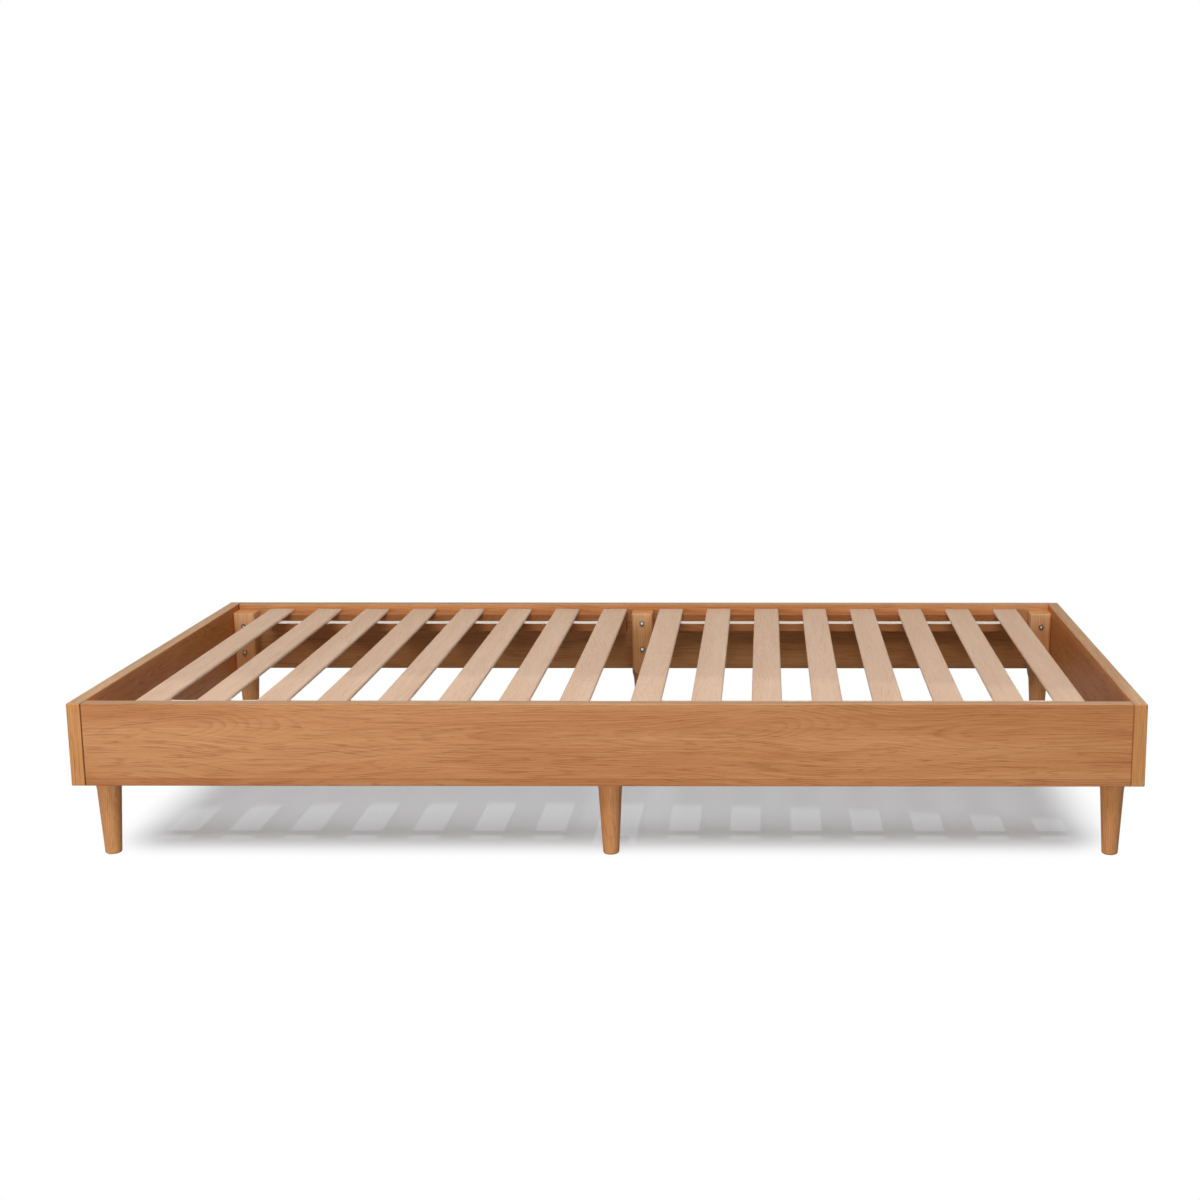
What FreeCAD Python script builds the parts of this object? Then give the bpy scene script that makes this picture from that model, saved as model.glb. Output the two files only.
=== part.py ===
"""Low slatted floor bed for one standard single mattress, one solid for each real piece.

Frame: millimetres, +X along the bed, -Y towards the front, +Z up. The origin lies on the floor under the
middle of the bed. Every piece is written to parts/NODE.step.
"""

import FreeCAD, Part

import math
import os

from FreeCAD import Vector

# ---------------------------------------------------------------- driving dimensions

# The mattress that the frame goes round.
MATTRESS_LENGTH = 1880.0
MATTRESS_WIDTH = 920.0
MATTRESS_CLEARANCE = 5.0

# The four boards round the bed: two side rails between two end panels.
BOARD_THICKNESS = 25.0
BOARD_HEIGHT = 153.0
BOARD_EDGE_RADIUS = 2.0

# The legs: a square block bolted inside the boards, turned through a hollow shoulder to a round taper.
FLOOR_CLEARANCE = 142.0
LEG_BLOCK_SIDE = 48.0
LEG_BLOCK_EDGE_RADIUS = 6.0
LEG_TOP_DROP = 13.0
LEG_TOP_EDGE_RADIUS = 1.5
LEG_SHOULDER_LENGTH = 29.0
LEG_SHOULDER_DROP = 21.0
LEG_SHOULDER_OVERCUT = 0.5
LEG_TAPER_DIAMETER = 43.0
LEG_FOOT_DIAMETER = 29.5
LEG_FOOT_EDGE_RADIUS = 4.0

# The slats, in one pack on each side of the middle legs.
SLATS_PER_PACK = 8
SLAT_WIDTH = 56.0
SLAT_THICKNESS = 8.0
SLAT_EDGE_RADIUS = 3.5
SLAT_TOP_DROP = 10.0
SLAT_END_CLEARANCE = 3.0
SLAT_TO_CORNER_LEG = 26.5
SLAT_TO_MIDDLE_LEG = 13.5

# The ledger strips along the side rails, which the slat ends lie on.
LEDGER_DEPTH = 30.0
LEDGER_HEIGHT = 40.0
LEDGER_EDGE_RADIUS = 1.0
LEDGER_TO_CORNER_LEG = 35.0
LEDGER_TO_MIDDLE_LEG = 14.0

# The webbing under each pack, which sags a little between the slats and sits a little towards the front.
WEBBING_WIDTH = 30.0
WEBBING_THICKNESS = 1.2
WEBBING_SAG = 1.5
WEBBING_TO_LEDGER = 48.0
WEBBING_SHIFT = -28.0
WEBBING_END_INSET = 6.0

# Button-head bolts from the legs into threaded inserts in the boards.
BOLT_DIAMETER = 6.0
BOLT_HOLE_CLEARANCE = 0.25
BOLT_HEAD_DIAMETER = 11.0
BOLT_HEAD_HEIGHT = 3.4
BOLT_HEAD_EDGE_RADIUS = 1.4
BOLT_SOCKET_ACROSS_FLATS = 4.0
BOLT_SOCKET_DEPTH = 2.1
BOLT_SPACING = 61.0
CORNER_BOLT_DROP = 43.0
MIDDLE_BOLT_DROP = 35.0
INSERT_DIAMETER = 9.0

# Dowels between the side rails and the end panels.
DOWEL_DIAMETER = 8.0
DOWEL_RAIL_DEPTH = 18.0
DOWEL_EDGE_DISTANCE = 25.0

# Countersunk screws through the ledgers, each under a slat.
SCREW_DIAMETER = 4.0
SCREW_HEAD_DIAMETER = 8.0
SCREW_SLOT_LENGTH = 4.4
SCREW_SLOT_WIDTH = 0.9
SCREW_SLOT_DEPTH = 1.4
SLATS_PER_SCREW = 2

# Staples through the webbing into the slats.
STAPLE_CROWN = 11.0
STAPLE_WIRE_WIDTH = 1.2
STAPLE_WIRE_THICKNESS = 0.7
STAPLE_TIP_COVER = 2.5

# Shared fits.
FIT_CLEARANCE = 0.05
HOLE_END_CLEARANCE = 1.0
BOARD_HOLE_COVER = 9.0

# ---------------------------------------------------------------- sizes that follow

INNER_HALF_LENGTH = MATTRESS_LENGTH / 2 + MATTRESS_CLEARANCE
INNER_HALF_WIDTH = MATTRESS_WIDTH / 2 + MATTRESS_CLEARANCE
OUTER_HALF_LENGTH = INNER_HALF_LENGTH + BOARD_THICKNESS
OUTER_HALF_WIDTH = INNER_HALF_WIDTH + BOARD_THICKNESS

BOARD_BOTTOM = FLOOR_CLEARANCE
BOARD_TOP = BOARD_BOTTOM + BOARD_HEIGHT
SLAT_TOP = BOARD_TOP - SLAT_TOP_DROP
SLAT_BOTTOM = SLAT_TOP - SLAT_THICKNESS
LEG_TOP = BOARD_TOP - LEG_TOP_DROP
BOARD_HOLE_DEPTH = BOARD_THICKNESS - BOARD_HOLE_COVER

LEG_Y = INNER_HALF_WIDTH - LEG_BLOCK_SIDE / 2
CORNER_LEG_X = INNER_HALF_LENGTH - LEG_BLOCK_SIDE / 2
LEG_PLACES = {"left": -CORNER_LEG_X, "middle": 0.0, "right": CORNER_LEG_X}
SIDES = {"front": -1, "back": 1}
ENDS = {"left": -1, "right": 1}

PACK_INNER_X = LEG_BLOCK_SIDE / 2 + SLAT_TO_MIDDLE_LEG
PACK_OUTER_X = INNER_HALF_LENGTH - LEG_BLOCK_SIDE - SLAT_TO_CORNER_LEG
SLAT_PITCH = (PACK_OUTER_X - PACK_INNER_X - SLAT_WIDTH) / (SLATS_PER_PACK - 1)
SLAT_LENGTH = 2 * (INNER_HALF_WIDTH - SLAT_END_CLEARANCE)

LEDGER_INNER_X = LEG_BLOCK_SIDE / 2 + LEDGER_TO_MIDDLE_LEG
LEDGER_OUTER_X = INNER_HALF_LENGTH - LEG_BLOCK_SIDE - LEDGER_TO_CORNER_LEG
LEDGER_FACE_Y = INNER_HALF_WIDTH - LEDGER_DEPTH
LEDGER_MIDDLE_Z = SLAT_BOTTOM - LEDGER_HEIGHT / 2

WEBBING_HALF_SPREAD = LEDGER_FACE_Y - WEBBING_TO_LEDGER - WEBBING_WIDTH / 2
WEBBING_LINES = {side: side * WEBBING_HALF_SPREAD + WEBBING_SHIFT for side in (-1, 1)}
WEBBING_BOTTOM = SLAT_BOTTOM - WEBBING_THICKNESS

BOLT_LENGTH = LEG_BLOCK_SIDE + BOARD_HOLE_DEPTH - HOLE_END_CLEARANCE
DOWEL_LENGTH = BOARD_HOLE_DEPTH + DOWEL_RAIL_DEPTH - 2 * HOLE_END_CLEARANCE
SCREW_LENGTH = LEDGER_DEPTH + BOARD_HOLE_DEPTH - HOLE_END_CLEARANCE
SCREW_CONE_HEIGHT = (SCREW_HEAD_DIAMETER - SCREW_DIAMETER) / 2
STAPLE_DEPTH = SLAT_THICKNESS - STAPLE_TIP_COVER


# ---------------------------------------------------------------- shared shapes


def box_between(low, high):
    """A box from its low corner to its high corner."""
    size = high - low
    return Part.makeBox(size.x, size.y, size.z, low)


def edges_along(shape, axis):
    """The straight edges of a shape that run along an axis."""
    found = []
    for edge in shape.Edges:
        run = edge.Vertexes[-1].Point - edge.Vertexes[0].Point
        if run.Length > 0 and run.cross(axis).Length < 1e-6:
            found.append(edge)
    return found


def edges_at_height(shape, z):
    """The edges of a shape that lie in one level plane."""
    found = []
    for edge in shape.Edges:
        box = edge.BoundBox
        if max(abs(box.ZMin - z), abs(box.ZMax - z)) < 1e-6:
            found.append(edge)
    return found


def rod(diameter, start, direction, length):
    """A round bar from a start point along a direction."""
    return Part.makeCylinder(diameter / 2, length, start, direction)


def placed(shape, point, direction):
    """A shape drawn along +Z from the origin, moved to a point and turned to a direction."""
    moved = shape.copy()
    moved.Placement = FreeCAD.Placement(point, FreeCAD.Rotation(Vector(0, 0, 1), direction))
    return moved


def prism(centre, across_flats, height):
    """A hexagonal prism that stands on a point."""
    corner_radius = across_flats / 2 / math.cos(math.pi / 6)
    corners = []
    for index in range(7):
        angle = index * math.pi / 3
        corners.append(centre + Vector(math.cos(angle), math.sin(angle), 0) * corner_radius)
    return Part.Face(Part.makePolygon(corners)).extrude(Vector(0, 0, height))


def save(node, pieces):
    """Write one node's solids to its STEP file."""
    solids = []
    for piece in pieces:
        solids.extend(piece.Solids)
    for solid in solids:
        if not solid.isValid():
            raise ValueError(f"{node} has a solid that is not valid")
    shape = solids[0] if len(solids) == 1 else Part.makeCompound(solids)
    shape.exportStep(f"parts/{node}.step")


# ---------------------------------------------------------------- where the fasteners go


def rail_bolts(place, side):
    """Where a leg's two bolts into its side rail start, with the way they point."""
    drop = MIDDLE_BOLT_DROP if place == "middle" else CORNER_BOLT_DROP
    inner_y = side * (INNER_HALF_WIDTH - LEG_BLOCK_SIDE)
    heights = (BOARD_TOP - drop, BOARD_TOP - drop - BOLT_SPACING)
    starts = [Vector(LEG_PLACES[place], inner_y, z) for z in heights]
    return starts, Vector(0, side, 0)


def panel_bolts(end, side):
    """Where a corner leg's two bolts into its end panel start: between its rail bolts, and below them."""
    lower_rail_bolt = BOARD_TOP - CORNER_BOLT_DROP - BOLT_SPACING
    inner_x = end * (INNER_HALF_LENGTH - LEG_BLOCK_SIDE)
    heights = (lower_rail_bolt + BOLT_SPACING * 3 / 4, (lower_rail_bolt + BOARD_BOTTOM) / 2)
    starts = [Vector(inner_x, side * LEG_Y, z) for z in heights]
    return starts, Vector(end, 0, 0)


def corner_dowels(end):
    """The outer ends of one end panel's four dowels, with the way they point into the rails."""
    outer_x = end * (INNER_HALF_LENGTH + BOARD_HOLE_DEPTH)
    rail_y = INNER_HALF_WIDTH + BOARD_THICKNESS / 2
    heights = (BOARD_BOTTOM + DOWEL_EDGE_DISTANCE, BOARD_TOP - DOWEL_EDGE_DISTANCE)
    starts = [Vector(outer_x, side * rail_y, z) for side in SIDES.values() for z in heights]
    return starts, Vector(-end, 0, 0)


def ledger_screws(end, side):
    """Where one ledger's screws start, each under a slat, with the way they point."""
    columns = slat_columns(end)[::SLATS_PER_SCREW]
    starts = [Vector(x, side * LEDGER_FACE_Y, LEDGER_MIDDLE_Z) for x in columns]
    return starts, Vector(0, side, 0)


def slat_columns(end):
    """The middles of one pack's slats, from the middle of the bed outwards."""
    first = PACK_INNER_X + SLAT_WIDTH / 2
    return [end * (first + index * SLAT_PITCH) for index in range(SLATS_PER_PACK)]


# ---------------------------------------------------------------- fasteners


def bolt(start, direction):
    """A button-head bolt with a hexagon socket: its head stands on the start point."""
    head = Part.makeCylinder(BOLT_HEAD_DIAMETER / 2, BOLT_HEAD_HEIGHT, Vector(0, 0, -BOLT_HEAD_HEIGHT))
    head = head.makeFillet(BOLT_HEAD_EDGE_RADIUS, edges_at_height(head, -BOLT_HEAD_HEIGHT))
    socket = prism(Vector(0, 0, -BOLT_HEAD_HEIGHT), BOLT_SOCKET_ACROSS_FLATS, BOLT_SOCKET_DEPTH)
    shank = Part.makeCylinder(BOLT_DIAMETER / 2, BOLT_LENGTH)
    return placed(head.cut(socket).fuse(shank), start, direction)


def insert(start, direction):
    """A threaded insert, flush with the inner face of the board that a bolt goes into."""
    face = start + direction * LEG_BLOCK_SIDE
    sleeve = rod(INSERT_DIAMETER, face, direction, BOARD_HOLE_DEPTH)
    return sleeve.cut(rod(BOLT_DIAMETER + 2 * FIT_CLEARANCE, face, direction, BOARD_HOLE_DEPTH))


def bolt_hole(start, direction):
    """The plain hole for a bolt through a leg."""
    return rod(BOLT_DIAMETER + 2 * BOLT_HOLE_CLEARANCE, start, direction, LEG_BLOCK_SIDE)


def insert_hole(start, direction):
    """The blind hole for an insert in a board."""
    face = start + direction * LEG_BLOCK_SIDE
    return rod(INSERT_DIAMETER + 2 * FIT_CLEARANCE, face, direction, BOARD_HOLE_DEPTH)


def dowel(start, direction):
    """A dowel from the end panel into the rail, short of both holes' ends."""
    inside = start + direction * HOLE_END_CLEARANCE
    return rod(DOWEL_DIAMETER, inside, direction, DOWEL_LENGTH)


def dowel_hole(start, direction):
    """The hole for a dowel in the end panel and the rail."""
    length = BOARD_HOLE_DEPTH + DOWEL_RAIL_DEPTH
    return rod(DOWEL_DIAMETER + 2 * FIT_CLEARANCE, start, direction, length)


def screw(start, direction):
    """A countersunk cross-slot screw with its head flush with the start point."""
    head = Part.makeCone(SCREW_HEAD_DIAMETER / 2, SCREW_DIAMETER / 2, SCREW_CONE_HEIGHT)
    shank = Part.makeCylinder(SCREW_DIAMETER / 2, SCREW_LENGTH)
    long_half = SCREW_SLOT_LENGTH / 2
    short_half = SCREW_SLOT_WIDTH / 2
    slots = []
    for half_x, half_y in ((long_half, short_half), (short_half, long_half)):
        slots.append(box_between(Vector(-half_x, -half_y, 0), Vector(half_x, half_y, SCREW_SLOT_DEPTH)))
    return placed(head.fuse(shank).cut(slots), start, direction)


def screw_hole(start, direction):
    """The countersunk hole for a screw through the ledger and into the rail."""
    wide = SCREW_HEAD_DIAMETER / 2 + FIT_CLEARANCE
    narrow = SCREW_DIAMETER / 2 + FIT_CLEARANCE
    sink = Part.makeCone(wide, narrow, SCREW_CONE_HEIGHT)
    hole = rod(2 * narrow, start, direction, LEDGER_DEPTH + BOARD_HOLE_DEPTH)
    return placed(sink, start, direction).fuse(hole)


def staple(x, side, clearance=0.0):
    """A staple across the webbing under a slat, or the slots for it when it has a clearance."""
    half_crown = STAPLE_CROWN / 2
    half_wire = STAPLE_WIRE_WIDTH / 2 + clearance
    near = WEBBING_LINES[side] - half_wire
    far = WEBBING_LINES[side] + half_wire
    crown_bottom = WEBBING_BOTTOM - STAPLE_WIRE_THICKNESS
    tip = SLAT_BOTTOM + STAPLE_DEPTH + clearance
    crown_high = Vector(x + half_crown, far, WEBBING_BOTTOM)
    shape = box_between(Vector(x - half_crown, near, crown_bottom), crown_high)
    for end in ENDS.values():
        outer = x + end * (half_crown + clearance)
        inner = x + end * (half_crown - STAPLE_WIRE_THICKNESS - clearance)
        low = Vector(min(outer, inner), near, crown_bottom)
        high = Vector(max(outer, inner), far, tip)
        shape = shape.fuse(box_between(low, high))
    return shape.removeSplitter()


# ---------------------------------------------------------------- pieces


def side_rail(side):
    """A side rail between the end panels, with holes for inserts, dowels and ledger screws."""
    inner = side * INNER_HALF_WIDTH
    outer = side * OUTER_HALF_WIDTH
    low = Vector(-INNER_HALF_LENGTH, min(inner, outer), BOARD_BOTTOM)
    high = Vector(INNER_HALF_LENGTH, max(inner, outer), BOARD_TOP)
    rail = box_between(low, high)
    rail = rail.makeFillet(BOARD_EDGE_RADIUS, edges_along(rail, Vector(1, 0, 0)))
    holes = []
    for place in LEG_PLACES:
        starts, direction = rail_bolts(place, side)
        holes.extend(insert_hole(start, direction) for start in starts)
    for end in ENDS.values():
        starts, direction = corner_dowels(end)
        holes.extend(dowel_hole(start, direction) for start in starts if start.y * side > 0)
        starts, direction = ledger_screws(end, side)
        holes.extend(screw_hole(start, direction) for start in starts)
    return rail.cut(holes)


def end_panel(end):
    """A full-depth end panel, with holes for inserts and dowels."""
    inner = end * INNER_HALF_LENGTH
    outer = end * OUTER_HALF_LENGTH
    low = Vector(min(inner, outer), -OUTER_HALF_WIDTH, BOARD_BOTTOM)
    high = Vector(max(inner, outer), OUTER_HALF_WIDTH, BOARD_TOP)
    panel = box_between(low, high)
    panel = panel.makeFillet(BOARD_EDGE_RADIUS, panel.Edges)
    holes = []
    for side in SIDES.values():
        starts, direction = panel_bolts(end, side)
        holes.extend(insert_hole(start, direction) for start in starts)
    starts, direction = corner_dowels(end)
    holes.extend(dowel_hole(start, direction) for start in starts)
    return panel.cut(holes)


def turned_envelope(x, y):
    """What the lathe leaves round a leg's axis: taper, hollow shoulder, and room for the square block."""
    shoulder_bottom = FLOOR_CLEARANCE - LEG_SHOULDER_DROP
    flat_half = LEG_BLOCK_SIDE / 2 - LEG_BLOCK_EDGE_RADIUS
    corner_radius = flat_half * math.sqrt(2) + LEG_BLOCK_EDGE_RADIUS + LEG_SHOULDER_OVERCUT
    foot = Vector(LEG_FOOT_DIAMETER / 2, 0, 0)
    low = Vector(LEG_TAPER_DIAMETER / 2, 0, shoulder_bottom)
    high = Vector(corner_radius, 0, shoulder_bottom + LEG_SHOULDER_LENGTH)
    top = Vector(corner_radius, 0, LEG_TOP)
    run = (low - foot).normalize()
    outward = Vector(run.z, 0, -run.x)
    rise = high - low
    arc_radius = rise.dot(rise) / (2 * rise.dot(outward))
    centre = low + outward * arc_radius
    middle = centre + ((low - centre) + (high - centre)).normalize() * arc_radius
    lines = [Part.makeLine(Vector(0, 0, 0), foot), Part.makeLine(foot, low)]
    lines.append(Part.Arc(low, middle, high).toShape())
    lines.extend([Part.makeLine(high, top), Part.makeLine(top, Vector(0, 0, LEG_TOP))])
    lines.append(Part.makeLine(Vector(0, 0, LEG_TOP), Vector(0, 0, 0)))
    turned = Part.Face(Part.Wire(lines)).revolve(Vector(0, 0, 0), Vector(0, 0, 1), 360)
    turned.translate(Vector(x, y, 0))
    return turned


def leg(place, side):
    """A leg: square block to the height of the slats, turned shoulder, round taper down to the floor."""
    x = LEG_PLACES[place]
    y = side * LEG_Y
    half = LEG_BLOCK_SIDE / 2
    block = box_between(Vector(x - half, y - half, 0), Vector(x + half, y + half, LEG_TOP))
    block = block.makeFillet(LEG_BLOCK_EDGE_RADIUS, edges_along(block, Vector(0, 0, 1)))
    block = block.makeFillet(LEG_TOP_EDGE_RADIUS, edges_at_height(block, LEG_TOP))
    shape = block.common(turned_envelope(x, y))
    shape = shape.makeFillet(LEG_FOOT_EDGE_RADIUS, edges_at_height(shape, 0))
    holes = [bolt_hole(start, direction) for start, direction in leg_bolts(place, side)]
    return shape.cut(holes)


def leg_bolts(place, side):
    """Every bolt through one leg, as its start and the way it points."""
    starts, direction = rail_bolts(place, side)
    bolts = [(start, direction) for start in starts]
    if place in ENDS:
        starts, direction = panel_bolts(ENDS[place], side)
        bolts.extend((start, direction) for start in starts)
    return bolts


def ledger(end, side):
    """A ledger strip on a side rail, under the ends of one pack's slats."""
    inner = end * LEDGER_INNER_X
    outer = end * LEDGER_OUTER_X
    face = side * LEDGER_FACE_Y
    back = side * INNER_HALF_WIDTH
    low = Vector(min(inner, outer), min(face, back), SLAT_BOTTOM - LEDGER_HEIGHT)
    high = Vector(max(inner, outer), max(face, back), SLAT_BOTTOM)
    strip = box_between(low, high)
    strip = strip.makeFillet(LEDGER_EDGE_RADIUS, edges_along(strip, Vector(1, 0, 0)))
    starts, direction = ledger_screws(end, side)
    return strip.cut([screw_hole(start, direction) for start in starts])


def slat(x):
    """A slat across the bed, with slots for its two staples."""
    low = Vector(x - SLAT_WIDTH / 2, -SLAT_LENGTH / 2, SLAT_BOTTOM)
    high = Vector(x + SLAT_WIDTH / 2, SLAT_LENGTH / 2, SLAT_TOP)
    board = box_between(low, high)
    board = board.makeFillet(SLAT_EDGE_RADIUS, edges_along(board, Vector(0, 1, 0)))
    return board.cut([staple(x, side, FIT_CLEARANCE) for side in SIDES.values()])


def webbing(end, side):
    """A webbing strap: flat under each slat of a pack, and hanging in an arc between two slats."""
    columns = sorted(slat_columns(end))
    half_slat = SLAT_WIDTH / 2
    near = WEBBING_LINES[side] - WEBBING_WIDTH / 2

    def edge_line(z):
        """The strap's top or bottom line from end to end, with its flats at height z."""
        line = []
        for index, x in enumerate(columns):
            left = x - half_slat + (WEBBING_END_INSET if index == 0 else 0)
            right = x + half_slat - (WEBBING_END_INSET if index == len(columns) - 1 else 0)
            line.append(Part.makeLine(Vector(left, near, z), Vector(right, near, z)))
            if index < len(columns) - 1:
                end_x = columns[index + 1] - half_slat
                middle = Vector((right + end_x) / 2, near, z - WEBBING_SAG)
                line.append(Part.Arc(Vector(right, near, z), middle, Vector(end_x, near, z)).toShape())
        return line

    top = edge_line(SLAT_BOTTOM)
    bottom = edge_line(WEBBING_BOTTOM)
    cuts = []
    for index in (0, -1):
        cuts.append(Part.makeLine(top[index].Vertexes[index].Point, bottom[index].Vertexes[index].Point))
    outline = Part.Wire(Part.__sortEdges__(top + bottom + cuts))
    strap = Part.Face(outline).extrude(Vector(0, WEBBING_WIDTH, 0))
    return strap.cut([staple(x, side, FIT_CLEARANCE) for x in columns])


# ---------------------------------------------------------------- the bed


def save_frame():
    """The boards, legs and ledgers."""
    for side_name, side in SIDES.items():
        save(f"side_rail_{side_name}", [side_rail(side)])
        for place in LEG_PLACES:
            save(f"leg_{side_name}_{place}", [leg(place, side)])
        for end_name, end in ENDS.items():
            save(f"ledger_{side_name}_{end_name}", [ledger(end, side)])
    for end_name, end in ENDS.items():
        save(f"end_panel_{end_name}", [end_panel(end)])


def save_frame_fasteners():
    """The bolts, inserts, dowels and screws of the frame."""
    for side_name, side in SIDES.items():
        rail_inserts = []
        for place in LEG_PLACES:
            starts, direction = rail_bolts(place, side)
            save(f"rail_bolts_{side_name}_{place}", [bolt(start, direction) for start in starts])
            rail_inserts.extend(insert(start, direction) for start in starts)
        save(f"rail_inserts_{side_name}", rail_inserts)
        for end_name, end in ENDS.items():
            starts, direction = panel_bolts(end, side)
            save(f"panel_bolts_{side_name}_{end_name}", [bolt(start, direction) for start in starts])
            starts, direction = ledger_screws(end, side)
            save(f"ledger_screws_{side_name}_{end_name}", [screw(start, direction) for start in starts])
    for end_name, end in ENDS.items():
        panel_inserts = []
        for side in SIDES.values():
            starts, direction = panel_bolts(end, side)
            panel_inserts.extend(insert(start, direction) for start in starts)
        save(f"panel_inserts_{end_name}", panel_inserts)
        starts, direction = corner_dowels(end)
        save(f"corner_dowels_{end_name}", [dowel(start, direction) for start in starts])


def save_slat_packs():
    """The slats, numbered from left to right, with their webbing and staples."""
    columns = sorted(slat_columns(ENDS["left"]) + slat_columns(ENDS["right"]))
    for number, x in enumerate(columns, start=1):
        save(f"slat_{number:02d}", [slat(x)])
    for end_name, end in ENDS.items():
        for side_name, side in SIDES.items():
            save(f"webbing_{end_name}_{side_name}", [webbing(end, side)])
            save(f"staples_{end_name}_{side_name}", [staple(x, side) for x in slat_columns(end)])


def main():
    """Build every piece of the bed."""
    os.makedirs("parts", exist_ok=True)
    save_frame()
    save_frame_fasteners()
    save_slat_packs()


main()
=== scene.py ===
"""Looks of a low slatted floor bed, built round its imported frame.

Everything is in metres and in the frame's own axes: +X along the bed, -Y to the front, +Z up.
"""

import logging
import math
from collections.abc import Iterable, Sequence
from dataclasses import dataclass, field
from enum import Enum
from typing import ClassVar

import bpy
from bpy.types import Light, Material, Node, NodeSocket as Socket, NodeTree, Object, ShaderNodeTree
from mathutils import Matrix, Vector

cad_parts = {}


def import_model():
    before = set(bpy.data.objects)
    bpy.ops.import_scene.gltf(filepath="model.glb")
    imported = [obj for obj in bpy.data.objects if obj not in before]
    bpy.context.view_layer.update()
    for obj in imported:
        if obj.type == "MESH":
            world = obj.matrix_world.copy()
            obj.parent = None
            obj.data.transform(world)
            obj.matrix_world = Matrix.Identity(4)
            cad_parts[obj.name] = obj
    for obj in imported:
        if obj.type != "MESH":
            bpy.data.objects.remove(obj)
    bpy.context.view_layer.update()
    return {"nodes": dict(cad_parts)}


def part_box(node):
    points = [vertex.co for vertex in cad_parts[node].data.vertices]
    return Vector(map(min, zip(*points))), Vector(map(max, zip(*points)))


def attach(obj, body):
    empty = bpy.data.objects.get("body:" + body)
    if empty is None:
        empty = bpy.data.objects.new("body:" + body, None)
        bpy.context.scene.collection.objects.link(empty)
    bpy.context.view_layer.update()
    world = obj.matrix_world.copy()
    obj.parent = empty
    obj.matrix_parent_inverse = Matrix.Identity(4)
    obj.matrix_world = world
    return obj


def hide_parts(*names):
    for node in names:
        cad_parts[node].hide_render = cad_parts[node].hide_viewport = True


LOG = logging.getLogger("floor_bed")

Colour = Triple = tuple[float, float, float]
Feed = Socket | float | Sequence[float] | Material | None

SLATS_PER_PACK = 8
STRAP_THICKNESS = 0.0012
WHITE = (1.0, 1.0, 1.0)


class Side(Enum):
    """The long sides of the bed, by the sign of Y."""

    FRONT = -1
    BACK = 1


class End(Enum):
    """The ends of the bed, by the sign of X."""

    LEFT = -1
    RIGHT = 1


def middle(node: str, axis: int) -> float:
    """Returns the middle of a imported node's box along an axis, 0 for X to 2 for Z."""
    low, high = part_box(node)
    return (low[axis] + high[axis]) / 2


@dataclass(frozen=True)
class BedSizes:
    """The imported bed's sizes that its looks follow."""

    board_bottom: float
    board_top: float
    inner_half_length: float
    slat_bottom: float
    slat_half_width: float
    first_slat: float
    slat_pitch: float
    leg_reach: float
    middle_bolts: float
    corner_bolts: float
    bolt_gap: float

    @classmethod
    def read(cls) -> "BedSizes":
        """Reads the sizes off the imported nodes' boxes."""
        rail_low, rail_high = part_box("side_rail_front")
        slat_low, slat_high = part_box("slat_09")
        bolts_low, bolts_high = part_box("rail_bolts_front_middle")
        first_slat = middle("slat_09", 0)
        head_width = bolts_high.x - bolts_low.x
        return cls(board_bottom=rail_low.z, board_top=rail_high.z, inner_half_length=rail_high.x,
                   slat_bottom=slat_low.z, slat_half_width=(slat_high.x - slat_low.x) / 2,
                   first_slat=first_slat, slat_pitch=middle("slat_10", 0) - first_slat,
                   leg_reach=middle("leg_front_right", 0), middle_bolts=middle("rail_bolts_front_middle", 2),
                   corner_bolts=middle("rail_bolts_front_right", 2),
                   bolt_gap=bolts_high.z - bolts_low.z - head_width)


def paint(red: int, green: int, blue: int) -> Colour:
    """Returns the linear colour that shows as an 8-bit one in plain light."""
    return tuple((part / 255 / 12.92) if part < 11 else ((part / 255 + 0.055) / 1.055) ** 2.4
                 for part in (red, green, blue))


# --- node trees


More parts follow.
